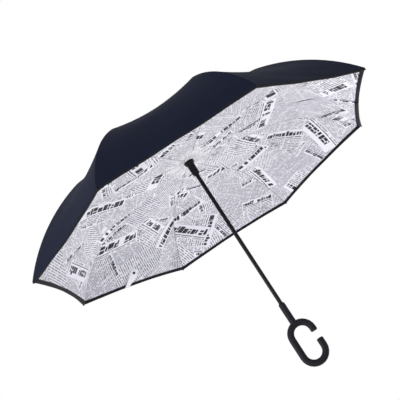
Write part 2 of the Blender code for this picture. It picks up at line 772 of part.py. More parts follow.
def build_button():
    """A push button in the collar's boss, whose stem presses the catch's nose out of the runner."""
    face = boss_face() + BUTTON_TRAVEL
    back = face - BUTTON_HEAD_LENGTH
    stem_end = SHAFT_RADIUS + CATCH_NOSE_REACH + CLEARANCE
    height = BUTTON_HEIGHT
    head = rod("release_button", (0, back, height), (0, face, height), BUTTON_RADIUS, ROUND_STEPS)
    stem = rod("stem", (0, stem_end, height), (0, back + CLEARANCE, height), BUTTON_STEM_RADIUS)
    add("release_button", joined("release_button", head, [stem]), GREY_PLASTIC)

    floor = COLLAR_WAIST_RADIUS - BOSS_WALL + SPRING_WIRE_RADIUS + CLEARANCE
    length = back - SPRING_WIRE_RADIUS - CLEARANCE - floor
    coil = (BUTTON_RADIUS + BUTTON_STEM_RADIUS) / 2
    steps = SPRING_TURNS * SPRING_TURN_STEPS
    turns = [math.tau * SPRING_TURNS * step / steps for step in range(steps + 1)]
    points = [
        (coil * math.cos(a), floor + length * index / steps, height + coil * math.sin(a))
        for index, a in enumerate(turns)
    ]
    add("button_spring", tube("button_spring", points, SPRING_WIRE_RADIUS, resolution=1), STEEL)


def arm(name, length, low, high, eye_at_end):
    """A channel arm along +X from its hub eye, between two distances beside the rib's plane."""
    outline = belt([((0, 0), ARM_HALF_HEIGHT), ((length, 0), ARM_HALF_HEIGHT)])
    holes = [hole((0, 0), WIRE_RADIUS + CLEARANCE)]
    if eye_at_end:
        holes.append(hole((length, 0), PIN_RADIUS + CLEARANCE))
    bar = plate(name, [outline, *holes], low, high)
    channel_low = (ARM_FLAT_END, low + ARM_SKIN, -ARM_HALF_HEIGHT - OVERRUN)
    channel_high = (length - ARM_FLAT_END, high - ARM_SKIN, ARM_HALF_HEIGHT - ARM_SKIN)
    heads = []
    if not eye_at_end:
        inner = high - ARM_SKIN
        heads.append(rod("rivet", (length, inner, 0), (length, high + RIVET_THICKNESS, 0), RIVET_RADIUS))
    return joined(name, bar, heads, [box("channel", channel_low, channel_high)])


def build_arms():
    lower = arm("lower_arm", LOWER_ARM_LENGTH, -ARM_FAR, -ARM_NEAR, True)
    at_each_rib("lower_arm", lower, STEEL, RUNNER_PIVOT, LOWER_ARM_SLOPE)
    upper = arm("upper_arm", UPPER_ARM_LENGTH, ARM_NEAR, ARM_FAR, False)
    at_each_rib("upper_arm", upper, STEEL, CROWN_PIVOT, UPPER_ARM_SLOPE)


def build_knuckles():
    """The block that both arms meet at: a plate with the rod's socket on top and the lower arm's pin."""
    line = [point - KNUCKLE_PIVOT for point in rod_line()]
    along = (line[1] - line[0]).normalized()
    start = line[0]
    mouth = start + along * SOCKET_LENGTH
    eye = KNUCKLE_EYE_RADIUS
    outline = belt([
        (KNUCKLE_TOP_PIVOT - KNUCKLE_PIVOT, eye),
        ((0, 0), eye),
        (start, SOCKET_RADIUS),
        (start + along * SOCKET_LENGTH / 2, SOCKET_RADIUS),
    ])
    half = KNUCKLE_HALF_THICKNESS
    block = plate("rib_block", [outline], -half, half)
    socket = rod("socket", (start.x, 0, start.y), (mouth.x, 0, mouth.y), SOCKET_RADIUS)
    pin_end = ARM_FAR + CLEARANCE
    pin = rod("pin", (0, 0, 0), (0, -pin_end - RIVET_THICKNESS, 0), PIN_RADIUS)
    head = rod("rivet", (0, -pin_end, 0), (0, -pin_end - RIVET_THICKNESS, 0), RIVET_RADIUS)
    floor = start + along * SOCKET_FLOOR
    past = mouth + along * OVERRUN
    bore = ROD_RADIUS + CLEARANCE
    rod_hole = rod("rod_hole", (floor.x, 0, floor.y), (past.x, 0, past.y), bore, EYE_STEPS + END_STEPS)
    mesh = joined("rib_block", block, [socket, pin, head], [rod_hole])
    at_each_rib("rib_block", mesh, GREY_PLASTIC, KNUCKLE_PIVOT)


def build_rods():
    line = [point - KNUCKLE_PIVOT for point in rod_line()]
    along = (line[1] - line[0]).normalized()
    start = line[0] + along * (SOCKET_FLOOR + CLEARANCE)
    points = [(p.x, 0, p.y) for p in [start] + line[1:]]
    at_each_rib("rib_rod", tube("rib_rod", points, ROD_RADIUS), GLASS_FIBRE, KNUCKLE_PIVOT)

    end_run = (line[-1] - line[-2]).normalized()
    bore = ROD_RADIUS + CLEARANCE
    nose = [
        Vector((TIP_RADIUS * math.sin(angle), TIP_NOSE - TIP_RADIUS + TIP_RADIUS * math.cos(angle)))
        for angle in (math.pi / 2 * step / 3 for step in range(4))
    ]
    profile = [(p.x, p.y) for p in nose]
    profile += [(TIP_RADIUS, -TIP_COVER), (bore, -TIP_COVER), (bore, CLEARANCE), (0, CLEARANCE)]
    tip = turned("rib_tip", profile, steps=12, closed=False)
    turn = Vector((end_run.x, 0, end_run.y)).to_track_quat("Z", "Y").to_matrix().to_4x4()
    tip.transform(Matrix.Translation((line[-1].x, 0, line[-1].y)) @ turn)
    at_each_rib("rib_tip", tip, BLACK_PLASTIC, KNUCKLE_PIVOT)


def grip_path():
    """The C's centre line: up from the gap, round the top, down the back, round the bottom and up again."""
    right, left = GRIP_OFFSET + GRIP_BEND, GRIP_OFFSET - GRIP_BEND
    points = [(right, 0, GRIP_GAP_HEIGHT + GRIP_GAP / 2)]
    for first, height in ((0.0, GRIP_STRAIGHT), (math.pi, -GRIP_STRAIGHT)):
        for step in range(GRIP_BEND_STEPS + 1):
            angle = first + math.pi * step / GRIP_BEND_STEPS
            across, up = GRIP_BEND * math.cos(angle), GRIP_BEND * math.sin(angle)
            points.append((GRIP_OFFSET + across, 0, height + up))
        if first == 0.0:
            points.append((left, 0, 0))
    points.append((right, 0, GRIP_GAP_HEIGHT - GRIP_GAP / 2))
    return points


def rounded_grip():
    """The grip's path with extra points at both ends, and each point's thickness as a share."""
    path = grip_path()
    angles = [math.pi / 2 * step / GRIP_END_STEPS for step in range(GRIP_END_STEPS + 1)]
    sunk = [GRIP_END_ROUNDING * (1 - math.cos(angle)) for angle in angles]
    shares = [1 - GRIP_END_ROUNDING / GRIP_RADIUS * (1 - math.sin(angle)) for angle in angles]
    (right, _, above), (_, _, below) = path[0], path[-1]
    upper = [(right, 0, above + depth) for depth in sunk]
    lower = [(right, 0, below - depth) for depth in reversed(sunk)]
    return upper + path[1:-1] + lower, shares + [1.0] * (len(path) - 2) + shares[::-1]


def build_handle():
    path, shares = rounded_grip()
    add("c_grip", tube("c_grip", path, GRIP_RADIUS, resolution=6, shares=shares), BLACK_RUBBER)

    top_of_grip = GRIP_HEIGHT / 2
    bottom = top_of_grip - GRIP_RADIUS
    bore = SHAFT_RADIUS + CLEARANCE
    floor = top_of_grip + NECK_FLOOR
    profile = [
        (NECK_RADIUS - NECK_LIP, NECK_TOP_HEIGHT),
        (NECK_RADIUS, NECK_TOP_HEIGHT - NECK_CHAMFER),
        (NECK_RADIUS, bottom),
        (0, bottom),
        (0, floor),
        (bore, floor),
        (bore, NECK_TOP_HEIGHT),
    ]
    ordered = profile[4:] + profile[:4]
    neck = turned("handle_neck", ordered, closed=False)
    around_grip = tube("around_grip", grip_path(), GRIP_RADIUS + CLEARANCE, resolution=6)
    saddle = bake(scratch("around_grip", around_grip))
    add("handle_neck", joined("handle_neck", neck, [], [saddle]), BLACK_RUBBER)


for old in list(bpy.data.objects):
    bpy.data.objects.remove(old)

PARTS = collection("inverted_umbrella")
CUTTERS = collection("cutters")

BLACK_STEEL = material("black_lacquered_steel", (0.012, 0.012, 0.016), 0.32, 0.6)
STEEL = material("dark_plated_steel", (0.10, 0.10, 0.11), 0.38, 1.0)
BLACK_PLASTIC = material("black_plastic", (0.014, 0.014, 0.018), 0.45)
GREY_PLASTIC = material("dark_grey_plastic", (0.045, 0.045, 0.05), 0.5)
BLACK_RUBBER = material("black_soft_touch", (0.018, 0.017, 0.026), 0.6)
GLASS_FIBRE = material("black_glass_fibre", (0.02, 0.02, 0.022), 0.4)
NAVY_CLOTH = material("navy_pongee", (0.021, 0.026, 0.045), 0.8)
PRINT = material("pale_print_pongee", (0.66, 0.65, 0.75), 0.85)

build_shaft()
build_catch("open_catch", BUTTON_HEIGHT, -1)
build_catch("closed_catch", BUTTON_HEIGHT - RUNNER_TRAVEL, 1)
build_crown()
build_cap()
build_runner()
build_collar()
build_button()
build_arms()
build_knuckles()
build_rods()
build_handle()
canopy("outer_canopy", outer_line(), OUTER_SAG, OUTER_RIM_SAG, OUTER_RIM_CUT, NAVY_CLOTH)
canopy("inner_canopy", inner_line(), INNER_SAG, INNER_RIM_SAG, INNER_RIM_CUT, PRINT)
strap()

CUTTERS.hide_render = True
print(f"runner travel {RUNNER_TRAVEL * 1000:.1f} mm")
for side, length, turn in (
    ("lower", LOWER_ARM_LENGTH, LOWER_ARM_TURN),
    ("upper", UPPER_ARM_LENGTH, UPPER_ARM_TURN),
):
    print(f"{side} arm {length * 1000:.1f} mm, turns {math.degrees(turn):.1f} degrees to close")
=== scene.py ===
"""Looks of an inverted umbrella: its two cloth canopies, their edging, the strap and all finishes."""

import json
import math

import bmesh
import bpy
import numpy as np
from mathutils import Matrix, Vector


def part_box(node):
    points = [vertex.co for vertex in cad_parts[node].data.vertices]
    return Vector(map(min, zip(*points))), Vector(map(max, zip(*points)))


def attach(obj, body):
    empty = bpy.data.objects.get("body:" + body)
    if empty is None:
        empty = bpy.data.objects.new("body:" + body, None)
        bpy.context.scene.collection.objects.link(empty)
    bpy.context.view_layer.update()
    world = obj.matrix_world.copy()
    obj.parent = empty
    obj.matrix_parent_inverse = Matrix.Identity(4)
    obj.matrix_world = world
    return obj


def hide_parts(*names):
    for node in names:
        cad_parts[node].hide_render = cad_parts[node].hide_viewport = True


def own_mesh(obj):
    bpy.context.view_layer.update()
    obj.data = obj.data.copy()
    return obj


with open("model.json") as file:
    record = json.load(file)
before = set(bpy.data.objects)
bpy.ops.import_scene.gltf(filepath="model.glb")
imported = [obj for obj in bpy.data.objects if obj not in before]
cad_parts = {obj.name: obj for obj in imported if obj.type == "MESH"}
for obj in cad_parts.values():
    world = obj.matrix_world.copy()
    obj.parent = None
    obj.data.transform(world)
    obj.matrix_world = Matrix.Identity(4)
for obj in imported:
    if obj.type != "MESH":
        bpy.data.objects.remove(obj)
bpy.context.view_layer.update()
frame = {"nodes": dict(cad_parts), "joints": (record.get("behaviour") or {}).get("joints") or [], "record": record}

MM = 0.001

# Camera: place in metres, angles in degrees, focal length for a 36 mm sensor
CAMERA_PLACE = (-0.0296, -2.0653, -0.1989)
CAMERA_TURN = (111.14, 31.04, 11.30)
CAMERA_LENS = 72.37
SENSOR = 36.0

# Stage: the floor in metres, each lamp's name, place, size and power, and how strong the background is where
# it's seen and where it lights
FLOOR_DROP = 1.05
FLOOR_RADIUS = 3.2
FLOOR_STEPS = 64
LAMPS = (
    ("key", (-2.5, -1.8, 0.15), 2.0, 62),
    ("fill_below", (0.6, 1.9, -0.8), 1.8, 30),
)
WHITE = 1.0
WORLD_LIGHT = 0.70

# Canopies: radii, rises above the plane of the cloth corners and thicknesses, as the solids have them
RIB_COUNT = 8
SECTOR = math.tau / RIB_COUNT
HALF_SECTOR = SECTOR / 2
RIM_RADIUS = 527 * MM
CROWN_RISE = 222 * MM
HALF_SOLID_CLOTH = 0.3 * MM
CLOTH = 0.4 * MM
TIP_DEPTH = 8.2 * MM
CLAMP_RADIUS = 15 * MM
RIM_CUT_POWER = 8
RIM_CUT_LIMIT = 1.1

# Centre patches: their radius, and their area as a share of a square as wide
PATCH_RADIUS = 36 * MM

# Edging round the rim: its first row lies under the inner cloth, the next at shares of its width beyond it
HEM_WIDTH = 12 * MM
HEM_TURN = 3.2 * MM
HEM_CLOTH = 0.5 * MM
HEM_UNDER = 2 * MM
HEM_SHARES = (0.25, 0.6, 0.95)
HEM_BULGE = 0.15

# Pulls that fade away from the cloth corners, and waves along and across a gore
PULL_REACH = 60 * MM
PULL_PITCH = 14 * MM
PULLS_ACROSS = 8
WAVES_ALONG = 20
WAVES_ACROSS = 2.3

# Closing strap: its place as a share of the way from its rib back to the one before, and how far out on the
# hem it's sewn. The snap's place is a row and a column of the strap
STRAP_RIB = 4
STRAP_PLACE = 0.395
STRAP_SEWN = 0.8
STRAP_WIDTH = 18 * MM
STRAP_LENGTH = 66 * MM
STRAP_CLOTH = 0.8 * MM
STRAP_LIFT = 15 * MM
STRAP_LEAN = 20 * MM
STRAP_TWIST = 7 * MM
STRAP_GAP = 1.6 * MM
STRAP_LEAN_POWER = 1.4
STRAP_ARCH = 2.4
STRAP_ROUNDED = 0.97
STRAP_TWIST_REACH = 1.5
STRAP_ROWS, STRAP_COLUMNS = 21, 7
SNAP_RADIUS = 4.2 * MM
SNAP_AT = (4, 3)
SNAP_SIDES = 28
SNAP_SHARP = 35
# Each step of the snap: its radii below and above as shares, and its lower and upper side in mm
SNAP_STEPS = ((1.0, 0.8, -0.4, 0.9), (0.45, 0.3, 0.8, 1.6))

# Steps of the line along a rib, and of the cloth: its columns as shares of the way from a rib to the middle
# of a gore, the length of a row, a centre patch's rows and its columns in a gore, and the steps for a normal
ARC_STEPS = 48
LINE_STEP = 1.5 * MM
SIDE_SHARES = (0.0, 0.015, 0.045, 0.1, 0.18, 0.27, 0.37, 0.48, 0.59, 0.7, 0.8, 0.9, 1.0)
ROW_STEP = 7 * MM
CENTRE_ROWS, CENTRE_COLUMNS = 8, 12
NORMAL_RUN = 0.8 * MM
NORMAL_TURN = 0.01

# How the cloth folds: how far the arms' cloth is tucked behind the ribs', and the share of its width that a
# closed band keeps, which the rim has as a number because its edging shares it
TUCK = 0.5 * MM
TUCK_RAMP = 6 * MM
WIDEN_REACH = 12 * MM
OVERLAP = 1.02
RIM_KEEP = 0.306

# Where each rib's wedge of cloth is divided, as distances in mm from the shaft along the rib's plane. A pair
# gives one beside the rib and one at the middle of the gore. Each band rides on one body and has its own share
# of width to keep when the umbrella closes. The inner bands of arms and ribs meet in one fold there
INNER_BANDS = {
    "lower_arm": (10, 45, 58, 76, 102, 150, 200, 250, (307.5, 300)),
    "rib": ((259.5, 244), (270.5, 257), (281.5, 271), (292.5, 287), 305, 335, 375, 415, 438, None),
}
OUTER_BANDS = {
    "upper_arm": (10, 45, 60, 80, 110, 160, 225, 312),
    "rib": (262, 390, 425, 445, None),
}

# The inner cloth's print: how far each gore is moved across and along the printed cloth, in metres, the
# colours of paper and ink, and the pale colour of the highlight painted on the creases round the runner
GORE_SHIFT = (0.83, 0.47)
PAPER = (0.93, 0.915, 0.99, 1)
OLD_PAPER = (0.76, 0.75, 0.84, 1)
WORN_PAPER = (0.5, 0.49, 0.58, 1)
PAINTED_CREASE_HIGHLIGHT = (0.95, 0.94, 0.99, 1)
INK = (0.010, 0.010, 0.015, 1)

# Layers of the print in mm. Texts cover everything. Clippings lie on them, the lowest first: the half size
# of their rectangle, the height of their headline, the share of cells that have one, and the middle and the
# half size of their picture
TEXTS = (
    {"size": 126, "shift": 3.1, "pitch": 5.0, "darkness": 0.74},
    {"size": 158, "shift": 7.7, "pitch": 7.6, "darkness": 0.80},
)
TEXT_COLUMN = 44
COARSE_TEXT = {"size": 140, "shift": 5.3, "share": 0.42}
CLIPPINGS = (
    {"size": 150, "shift": 11.7, "half": (54, 36), "head": 15, "pitch": 5.8, "share": 0.75,
     "picture": ((16, -14), (13, 10))},
    {"size": 188, "shift": 17.9, "half": (66, 46), "head": 25, "pitch": 7.4, "share": 0.66,
     "picture": ((-22, -16), (17, 12))},
    {"size": 205, "shift": 23.3, "half": (80, 28), "head": 32, "pitch": 6.4, "share": 0.62,
     "picture": None},
)
CLIPPING_SCATTER = 0.55
CLIPPING_TEXT_DARKNESS = 0.82
HEADLINE_STRETCH = 0.46
# Where the gathers round the runner and their painted highlight begin, and where they are at their full height
GATHER_REACH = (108 * MM, 30 * MM)

# Plain finishes. Each moulded one has a name, a colour, a lighter one where it is worn, its roughness, the
# scale of its grain, and the grain's depth in mm
NAVY = ("outer_cloth_weave", (0.0074, 0.0102, 0.0235), (0.0136, 0.0172, 0.0350))
# The colour of the shade painted into the outer canopy's seam grooves
SEAM_SHADE_NAVY = (0.004, 0.004, 0.006, 1)
HEM_TAPE = ("hem_tape", (0.0055, 0.0060, 0.0100), (0.0085, 0.0092, 0.0140))
STRAP_TAPE = ("strap_tape", (0.88, 0.88, 0.92), (0.78, 0.78, 0.84))
PLATED = ("plated_steel", (0.12, 0.12, 0.13), 0.36)
MOULDED = {
    "black_plastic": ("black_plastic", (0.005, 0.005, 0.007), (0.009, 0.009, 0.012), 0.42, 900.0, 0.04),
    "black_lacquer": ("lacquered_steel", (0.004, 0.004, 0.006), (0.008, 0.008, 0.011), 0.30, 500.0, 0.02),
    "grey_plastic": ("grey_plastic", (0.035, 0.035, 0.04), (0.05, 0.05, 0.055), 0.5, 900.0, 0.04),
    "soft_touch_grip": ("soft_touch", (0.006, 0.006, 0.0095), (0.011, 0.0105, 0.016), 0.5, 1100.0, 0.03),
    "glass_fibre": ("glass_fibre", (0.012, 0.012, 0.014), (0.02, 0.02, 0.022), 0.35, 600.0, 0.03),
}


def rib_azimuth(number):
    return SECTOR * (number - 0.5)


def smooth_step(share):
    share = np.clip(share, 0.0, 1.0)
    return share * share * (3 - 2 * share)


def arc(start, end, radius, steps):
    """Points of an arc from start to end that bulges up and outwards."""
    start, end = np.array(start), np.array(end)
    chord = end - start
    half = np.linalg.norm(chord) / 2
    outward = np.array([-chord[1], chord[0]]) / (2 * half)
    centre = (start + end) / 2 - outward * math.sqrt(radius**2 - half**2)
    first = math.atan2(*(start - centre)[::-1])
    last = math.atan2(*(end - centre)[::-1])
    angles = np.linspace(first, last, steps + 1)
    return centre + radius * np.stack([np.cos(angles), np.sin(angles)], axis=1)


def eased(line, reach, step):
    """The same line at even steps, with its corners rounded over a reach and its ends kept."""
    lengths = np.r_[0, np.cumsum(np.linalg.norm(np.diff(line, axis=0), axis=1))]
    even = np.linspace(0, lengths[-1], int(round(lengths[-1] / step)) + 1)
    points = np.stack([np.interp(even, lengths, line[:, axis]) for axis in (0, 1)], axis=1)
    width = max(int(round(reach / step)), 1)
    window = np.hanning(2 * width + 3)[1:-1]
    before = 2 * points[0] - points[width:0:-1]
    after = 2 * points[-1] - points[-2 : -width - 2 : -1]
    padded = np.concatenate([before, points, after])
    return np.stack(
        [np.convolve(padded[:, axis], window / window.sum(), "valid") for axis in (0, 1)], axis=1
    )


class Canopy:
    """One canopy's surface: a line along each rib, and how the cloth hangs between two of them."""

    pleats = 5
    pull = 0.7 * MM

    def __init__(self, start, bend, end, bow, ease, sag, rim_sag, rim_cut, trim=0.0):
        line = np.concatenate([[start], arc(bend, end, bow, ARC_STEPS)])
        line[:, 1] += RIM_HEIGHT
        self.line = eased(line, ease, LINE_STEP)
        runs = np.linalg.norm(np.diff(self.line, axis=0), axis=1)
        self.lengths = np.r_[0, np.cumsum(runs)]
        self.total = self.lengths[-1] - trim
        self.sag, self.rim_sag, self.rim_cut = sag, rim_sag, rim_cut

    def spot(self, distance):
        return np.stack([np.interp(distance, self.lengths, self.line[:, axis]) for axis in (0, 1)], -1)

    def run(self, distance):
        """The line's outward direction."""
        distance = np.clip(distance, 2 * MM, self.lengths[-1] - 2 * MM)
        run = self.spot(distance + MM) - self.spot(distance - MM)
        return run / np.linalg.norm(run, axis=-1, keepdims=True)

    def length_at(self, radius):
        return np.interp(radius, self.line[:, 0], self.lengths)

    def points(self, gore, across, distance, lift=0.0):
        """Points of a gore. Across runs from -1 at one rib to 1 at the next, distance along the line."""
        spot, run = self.spot(distance), self.run(distance)
        share = distance / self.total
        hang = self.sag + (self.rim_sag - self.sag) * smooth_step(2 * share - 1)
        hang = hang * smooth_step(2 * share)
        hollow = 1 - across**2
        cut = self.rim_cut * np.clip(share, 0, RIM_CUT_LIMIT) ** RIM_CUT_POWER * hollow
        away = lift - hang * hollow + self.folds(gore, across, distance, spot[..., 0])
        ahead = spot[..., 0] * math.cos(HALF_SECTOR) - run[..., 1] * away - run[..., 0] * cut
        aside = spot[..., 0] * math.sin(HALF_SECTOR) * across
        height = spot[..., 1] + run[..., 0] * away - run[..., 1] * cut
        middle = rib_azimuth(gore) + HALF_SECTOR
        cosine, sine = math.cos(middle), math.sin(middle)
        return np.stack([ahead * cosine - aside * sine, ahead * sine + aside * cosine, height], axis=-1)

    def folds(self, gore, across, distance, radius):
        """Small unevenness between the ribs: pleats at the hub, pulls at the corners, broad waves."""
        phase = np.random.default_rng(self.seed + gore).uniform(0, math.tau, 4)
        pleats = self.pleat * np.cos(self.pleats * math.pi * across + phase[0])
        pleats = pleats * smooth_step((radius - CLAMP_RADIUS) / self.pleat_start)
        pleats = pleats * np.exp(-np.maximum(radius - CLAMP_RADIUS, 0) / self.pleat_reach)
        left = np.maximum(self.total - distance, 0)
        pulls = np.sin(PULLS_ACROSS * across + left / PULL_PITCH + phase[1])
        pulls = self.pull * np.exp(-left / PULL_REACH) * pulls
        broad = self.wave * np.sin(WAVES_ALONG * distance / RIM_RADIUS + phase[2])
        broad = broad * np.cos(WAVES_ACROSS * across + phase[3])
        return (1 - across**2) * (pleats + pulls + broad)


class OuterCanopy(Canopy):
    seed = 410
    pleat = 1.0 * MM
    pleat_start = 20 * MM
    pleat_reach = 45 * MM
    wave = 1.1 * MM


class InnerCanopy(Canopy):
    seed = 730
    pleat = 4.0 * MM
    pleat_start = 22 * MM
    pleat_reach = 48 * MM
    wave = 1.4 * MM


# The height of the plane of the cloth corners, from the top of the outer canopy's solid
RIM_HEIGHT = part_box("outer_canopy")[1].z - (CROWN_RISE + HALF_SOLID_CLOTH)


def make_canopies():
    """The outer canopy, and the inner one, which meets it under the cloth corners."""
    outer = OuterCanopy(
        start=(8 * MM, CROWN_RISE),
        bend=(295 * MM, 197.5 * MM),
        end=(RIM_RADIUS, 0.0),
        bow=509 * MM,
        ease=18 * MM,
        sag=14 * MM,
        rim_sag=10 * MM,
        rim_cut=8 * MM,
    )
    run = outer.run(outer.total)
    corner = outer.line[-1] + np.array([run[1], -run[0]]) * TIP_DEPTH
    inner = InnerCanopy(
        start=(8 * MM, 120.5 * MM),
        bend=(300 * MM, 116.5 * MM),
        end=(corner[0], corner[1] - RIM_HEIGHT),
        bow=345 * MM,
        ease=22 * MM,
        sag=6 * MM,
        rim_sag=6 * MM,
        rim_cut=8 * MM,
        trim=HEM_WIDTH - HEM_TURN,
    )
    return outer, inner


OUTER, INNER = make_canopies()


# Folding

JOINTS = {joint["name"]: joint for joint in frame["joints"]}


def hinge(name):
    """A hinge's place in its rib's plane, and how far it turns that plane's pieces upwards to close."""
    joint = JOINTS[f"{name}_1_hinge"]
    x, y, z = joint["pos_m"]
    return np.array([math.hypot(x, y), z]), math.radians(max(joint["range_deg"], key=abs))


HINGES = {
    "lower_arm": [hinge("lower_arm")],
    "rib": [hinge("rib"), hinge("lower_arm")],
    "upper_arm": [hinge("upper_arm")],
}


def closed_radius(body, places):
    """How far from the shaft's axis a body's points are in the closed umbrella, from their rest places."""
    for pivot, turn in HINGES[body]:
        cosine, sine = math.cos(turn), math.sin(turn)
        away = places - pivot
        turned = [away[..., 0] * cosine - away[..., 1] * sine, away[..., 0] * sine + away[..., 1] * cosine]
        places = pivot + np.stack(turned, axis=-1)
    return places[..., 0]


def rib_axes(rib):
    """The outward direction of a rib's plane, and the direction across it."""
    azimuth = rib_azimuth(rib)
    outward = np.array([math.cos(azimuth), math.sin(azimuth), 0.0])
    return outward, np.array([-outward[1], outward[0], 0.0])


def width_kept(body, rib, points):
    """The share of its width at which each row of a wedge just meets its closed neighbours."""
    outward, _ = rib_axes(rib)
    stations = points @ outward
    radii = closed_radius(body, np.stack([stations, points[..., 2]], axis=-1))
    return OVERLAP * np.max(radii[:, [0, -1]] / stations[:, [0, -1]], axis=1)


# Sheets


def sheet_mesh(name, points, normals, plans, thickness, from_rib=None, closed=False):
    """A thin closed sheet on a grid of points, with its own smooth normals.

    Plans holds the print's places for the columns left and right of the grid's middle, where a seam is.
    """
    rows, columns = points.shape[:2]
    count, middle = rows * columns, columns // 2
    above = (points + normals * thickness / 2).reshape(-1, 3)
    below = (points - normals * thickness / 2).reshape(-1, 3)
    faces, right = [], []
    last = columns if closed else columns - 1
    for row in range(rows - 1):
        for column in range(last):
            a, b = row * columns + column, row * columns + (column + 1) % columns
            c, d = b + columns, a + columns
            faces += [(a, d, c, b), (a + count, b + count, c + count, d + count)]
            right += [column >= middle] * 2
    rim = [(0, c, 0, (c + 1) % columns) for c in range(last)]
    rim += [(rows - 1, (c + 1) % columns, rows - 1, c) for c in range(last)]
    if not closed:
        rim += [(r, columns - 1, r + 1, columns - 1) for r in range(rows - 1)]
        rim += [(r + 1, 0, r, 0) for r in range(rows - 1)]
    for r0, c0, r1, c1 in rim:
        a, b = r0 * columns + c0, r1 * columns + c1
        faces.append((a, b, b + count, a + count))
        right.append(min(c0, c1) >= middle)
    mesh = bpy.data.meshes.new(name)
    mesh.from_pydata(np.concatenate([above, below]).tolist(), [], faces)
    index = np.zeros(len(mesh.loops), np.int32)
    mesh.loops.foreach_get("vertex_index", index)
    left_places, right_places = (plan.reshape(-1, 2)[index % count] for plan in plans)
    places = np.where(np.repeat(right, 4)[:, None], right_places, left_places)
    mesh.uv_layers.new(name="plan").data.foreach_set("uv", places.astype(np.float32).ravel())
    if from_rib is not None:
        both = np.tile(from_rib.ravel(), 2).astype(np.float32)
        mesh.attributes.new("from_rib", "FLOAT", "POINT").data.foreach_set("value", both)
    mesh.shade_smooth()
    facing = np.concatenate([normals.reshape(-1, 3), -normals.reshape(-1, 3)])
    mesh.normals_split_custom_set_from_vertices(facing.tolist())
    return mesh


def unit(vectors):
    return vectors / np.linalg.norm(vectors, axis=-1, keepdims=True)


def grid_normals(canopy, gore, across, distance, lift):
    """Upper normals at a gore's points, from a short step along the gore and one across it."""

    def step(turn, run):
        after = canopy.points(gore, across + turn, distance + run, lift)
        return after - canopy.points(gore, across - turn, distance - run, lift)

    return unit(np.cross(step(0, NORMAL_RUN), step(NORMAL_TURN, 0)))


def beside_rib(station):
    """A station's distance from the shaft in metres, beside the rib."""
    return np.broadcast_to(station, 2)[0] * MM


def station_radius(station, across):
    """The radius of a point of a gore that stands at a station along the plane of its nearer rib."""
    beside, middle = np.broadcast_to(station, 2) * MM
    station = middle + (beside - middle) * abs(across)
    return station / (math.cos(HALF_SECTOR) ** 2 + math.sin(HALF_SECTOR) ** 2 * abs(across))


def distances(canopy, across, low, high, rows):
    """For each row and column of a wedge its distance along the canopy, between two stations."""
    first = canopy.length_at(station_radius(low, across))
    last = canopy.total if high is None else canopy.length_at(station_radius(high, across))
    return np.linspace(first, np.minimum(last, canopy.total) + 0 * first, rows)


def wedge_grid(canopy, rib, place, lift):
    """Points, upper normals and print places of the cloth from mid-gore to mid-gore round a rib.

    Place gives the distances along the canopy for a row of lateral shares, and lift their offsets.
    """
    sides = np.array(SIDE_SHARES)
    parts = []
    for gore, across in ((rib - 1, 1 - sides[::-1]), (rib, sides - 1)):
        distance = place(across)
        across = across + 0 * distance
        offset = lift(distance)
        points = canopy.points(gore, across, distance, offset)
        normals = grid_normals(canopy, gore, across, distance, offset)
        plan = print_place(canopy, gore, across, distance)
        parts.append((points, normals, plan, rib_distance(canopy, across, distance)))
    (left, left_up, left_plan, left_away), (right, right_up, right_plan, right_away) = parts
    points = np.concatenate([left, right[:, 1:]], axis=1)
    from_rib = np.concatenate([left_away, right_away[:, 1:]], axis=1)
    seam_up = unit(left_up[:, -1:] + right_up[:, :1])
    normals = np.concatenate([left_up[:, :-1], seam_up, right_up[:, 1:]], axis=1)
    blank_left, blank_right = np.zeros_like(left_plan[:, 1:]), np.zeros_like(right_plan[:, :-1])
    plans = (
        np.concatenate([left_plan, blank_left], axis=1),
        np.concatenate([blank_right, right_plan], axis=1),
    )
    return points, normals, plans, from_rib


def rib_distance(canopy, across, distance):
    """How far a point of a gore is from its nearer rib."""
    return canopy.spot(distance)[..., 0] * math.sin(HALF_SECTOR) * (1 - abs(across))


def print_place(canopy, gore, across, distance):
    """Where a point of a gore lies on the flat printed cloth, in metres."""
    radius = canopy.spot(distance)[..., 0]
    number = (gore - 1) % RIB_COUNT + 1
    aside = radius * math.sin(HALF_SECTOR) * across + GORE_SHIFT[0] * number
    return np.stack([aside, distance + GORE_SHIFT[1] * number], axis=-1)


def add_piece(name, mesh, material):
    piece = bpy.data.objects.new(name, mesh)
    bpy.context.scene.collection.objects.link(piece)
    piece.data.materials.append(material)
    return piece


def fold(piece, body, rib, keep):
    """Makes a piece ride on one of a rib's bodies, with a mesh of its own where it keeps less than its whole width
    when the umbrella closes.
    """
    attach(piece, f"{body}_{rib}")
    if keep < 1:
        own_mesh(piece)


def widen_at_hub(points, rib, wanted):
    """Widens the rows that the hub's patch hides, so that they leave no gaps round the closed hub."""
    outward, side = rib_axes(rib)
    hidden = smooth_step((PATCH_RADIUS - points @ outward) / WIDEN_REACH)
    more = 1 + (np.maximum(wanted, 1)[:, None] - 1) * hidden
    return points + (points @ side * (more - 1))[..., None] * side


